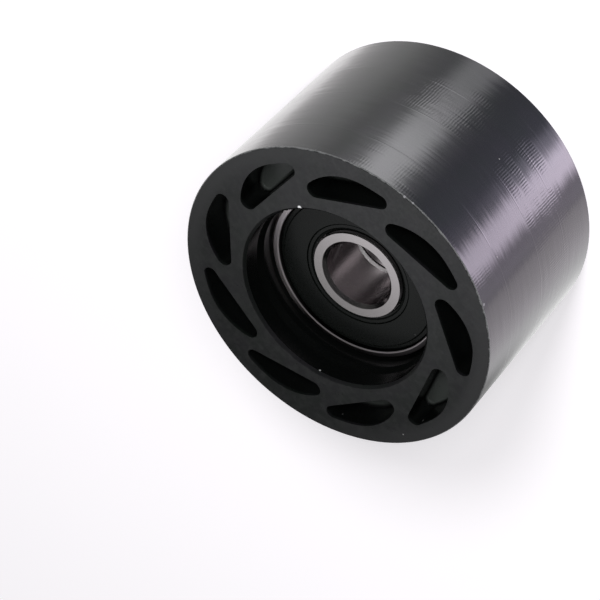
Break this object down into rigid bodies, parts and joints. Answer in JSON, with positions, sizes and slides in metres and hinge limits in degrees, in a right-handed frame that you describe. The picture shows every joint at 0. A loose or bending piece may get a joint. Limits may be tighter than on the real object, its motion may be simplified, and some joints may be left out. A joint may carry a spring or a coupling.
{
  "type": "chain roller",
  "caption": "Plain black plastic chain roller with swirl pockets in its end faces, running on sealed ball bearings pressed into a recessed hub with a bolt bore.",
  "frame": {"origin": "centre of the lower (rear) end face, on the roller's axis", "axes": "+Z along the roller's axis, from the rear end face to the pictured front end face; +X and +Y across it"},
  "size_m": [0.038, 0.038, 0.024],
  "materials": {
    "roller_plastic": "black moulded plastic, satin end faces and a turned, lightly chattered running surface",
    "bearing_steel": "ground bearing steel with fine turning lines",
    "seal_rubber": "black moulded rubber, satin",
    "cage_nylon": "natural moulded nylon, satin",
    "ball_steel": "polished steel balls"
  },
  "bodies": {
    "inner_races": {"front_inner_race": "bearing_steel", "rear_inner_race": "bearing_steel"},
    "roller": {"roller_body": "roller_plastic", "front_outer_race": "bearing_steel", "front_outboard_seal": "seal_rubber", "front_inboard_seal": "seal_rubber", "rear_outer_race": "bearing_steel", "rear_outboard_seal": "seal_rubber", "rear_inboard_seal": "seal_rubber"},
    "front_cage": {"front_cage": "cage_nylon"},
    "front_ball_1": {"front_ball_1": "ball_steel"},
    "front_ball_2": {"front_ball_2": "ball_steel"},
    "front_ball_3": {"front_ball_3": "ball_steel"},
    "front_ball_4": {"front_ball_4": "ball_steel"},
    "front_ball_5": {"front_ball_5": "ball_steel"},
    "front_ball_6": {"front_ball_6": "ball_steel"},
    "front_ball_7": {"front_ball_7": "ball_steel"},
    "rear_cage": {"rear_cage": "cage_nylon"},
    "rear_ball_1": {"rear_ball_1": "ball_steel"},
    "rear_ball_2": {"rear_ball_2": "ball_steel"},
    "rear_ball_3": {"rear_ball_3": "ball_steel"},
    "rear_ball_4": {"rear_ball_4": "ball_steel"},
    "rear_ball_5": {"rear_ball_5": "ball_steel"},
    "rear_ball_6": {"rear_ball_6": "ball_steel"},
    "rear_ball_7": {"rear_ball_7": "ball_steel"}
  },
  "joints": [
    {"name": "roller_spin", "type": "hinge", "parent": "inner_races", "child": "roller", "pos_m": [0, 0, 0.012], "axis": [0, 0, 1], "continuous": true},
    {"name": "front_cage_spin", "type": "hinge", "parent": "inner_races", "child": "front_cage", "pos_m": [0, 0, 0.0155], "axis": [0, 0, 1], "continuous": true},
    {"name": "front_ball_1_spin", "type": "hinge", "parent": "front_cage", "child": "front_ball_1", "pos_m": [0.0075, 0, 0.0155], "axis": [0, 0, 1], "continuous": true},
    {"name": "front_ball_2_spin", "type": "hinge", "parent": "front_cage", "child": "front_ball_2", "pos_m": [0.00468, 0.00586, 0.0155], "axis": [0, 0, 1], "continuous": true},
    {"name": "front_ball_3_spin", "type": "hinge", "parent": "front_cage", "child": "front_ball_3", "pos_m": [-0.00167, 0.00731, 0.0155], "axis": [0, 0, 1], "continuous": true},
    {"name": "front_ball_4_spin", "type": "hinge", "parent": "front_cage", "child": "front_ball_4", "pos_m": [-0.00676, 0.00325, 0.0155], "axis": [0, 0, 1], "continuous": true},
    {"name": "front_ball_5_spin", "type": "hinge", "parent": "front_cage", "child": "front_ball_5", "pos_m": [-0.00676, -0.00325, 0.0155], "axis": [0, 0, 1], "continuous": true},
    {"name": "front_ball_6_spin", "type": "hinge", "parent": "front_cage", "child": "front_ball_6", "pos_m": [-0.00167, -0.00731, 0.0155], "axis": [0, 0, 1], "continuous": true},
    {"name": "front_ball_7_spin", "type": "hinge", "parent": "front_cage", "child": "front_ball_7", "pos_m": [0.00468, -0.00586, 0.0155], "axis": [0, 0, 1], "continuous": true},
    {"name": "rear_cage_spin", "type": "hinge", "parent": "inner_races", "child": "rear_cage", "pos_m": [0, 0, 0.0085], "axis": [0, 0, 1], "continuous": true},
    {"name": "rear_ball_1_spin", "type": "hinge", "parent": "rear_cage", "child": "rear_ball_1", "pos_m": [0.0075, 0, 0.0085], "axis": [0, 0, 1], "continuous": true},
    {"name": "rear_ball_2_spin", "type": "hinge", "parent": "rear_cage", "child": "rear_ball_2", "pos_m": [0.00468, -0.00586, 0.0085], "axis": [0, 0, 1], "continuous": true},
    {"name": "rear_ball_3_spin", "type": "hinge", "parent": "rear_cage", "child": "rear_ball_3", "pos_m": [-0.00167, -0.00731, 0.0085], "axis": [0, 0, 1], "continuous": true},
    {"name": "rear_ball_4_spin", "type": "hinge", "parent": "rear_cage", "child": "rear_ball_4", "pos_m": [-0.00676, -0.00325, 0.0085], "axis": [0, 0, 1], "continuous": true},
    {"name": "rear_ball_5_spin", "type": "hinge", "parent": "rear_cage", "child": "rear_ball_5", "pos_m": [-0.00676, 0.00325, 0.0085], "axis": [0, 0, 1], "continuous": true},
    {"name": "rear_ball_6_spin", "type": "hinge", "parent": "rear_cage", "child": "rear_ball_6", "pos_m": [-0.00167, 0.00731, 0.0085], "axis": [0, 0, 1], "continuous": true},
    {"name": "rear_ball_7_spin", "type": "hinge", "parent": "rear_cage", "child": "rear_ball_7", "pos_m": [0.00468, 0.00586, 0.0085], "axis": [0, 0, 1], "continuous": true}
  ],
  "couplings": [
    {"joint": "front_cage_spin", "follows": "roller_spin", "ratio": 0.6323},
    {"joint": "front_ball_1_spin", "follows": "roller_spin", "ratio": 1.7573},
    {"joint": "front_ball_2_spin", "follows": "roller_spin", "ratio": 1.7573},
    {"joint": "front_ball_3_spin", "follows": "roller_spin", "ratio": 1.7573},
    {"joint": "front_ball_4_spin", "follows": "roller_spin", "ratio": 1.7573},
    {"joint": "front_ball_5_spin", "follows": "roller_spin", "ratio": 1.7573},
    {"joint": "front_ball_6_spin", "follows": "roller_spin", "ratio": 1.7573},
    {"joint": "front_ball_7_spin", "follows": "roller_spin", "ratio": 1.7573},
    {"joint": "rear_cage_spin", "follows": "roller_spin", "ratio": 0.6323},
    {"joint": "rear_ball_1_spin", "follows": "roller_spin", "ratio": 1.7573},
    {"joint": "rear_ball_2_spin", "follows": "roller_spin", "ratio": 1.7573},
    {"joint": "rear_ball_3_spin", "follows": "roller_spin", "ratio": 1.7573},
    {"joint": "rear_ball_4_spin", "follows": "roller_spin", "ratio": 1.7573},
    {"joint": "rear_ball_5_spin", "follows": "roller_spin", "ratio": 1.7573},
    {"joint": "rear_ball_6_spin", "follows": "roller_spin", "ratio": 1.7573},
    {"joint": "rear_ball_7_spin", "follows": "roller_spin", "ratio": 1.7573}
  ]
}
